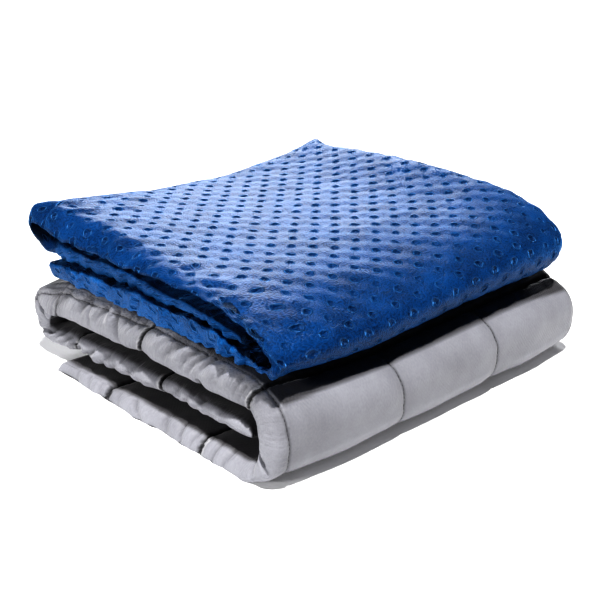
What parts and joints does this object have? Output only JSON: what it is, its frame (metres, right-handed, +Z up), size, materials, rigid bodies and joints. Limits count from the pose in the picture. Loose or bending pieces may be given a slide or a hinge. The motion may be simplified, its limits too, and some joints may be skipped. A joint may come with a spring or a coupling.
{
  "type": "weighted blanket with its folded cover",
  "caption": "Grey quilted weighted blanket, folded and rolled, with its dotted blue minky cover folded the same way and laid on top.",
  "frame": {"origin": "on the floor, under the middle of the bundle's box", "axes": "+X along the big front curl, away from the layered end that the picture shows; +Y from the front curl to the back bend; +Z up"},
  "size_m": [0.331, 0.3109, 0.1335],
  "materials": {
    "quilted_cotton": "smooth satin cotton, grey, quilted",
    "minky": "short plush pile with raised dots, royal blue"
  },
  "bodies": {
    "root": {"weighted_inner": "quilted_cotton", "minky_cover": "minky"}
  },
  "joints": []
}
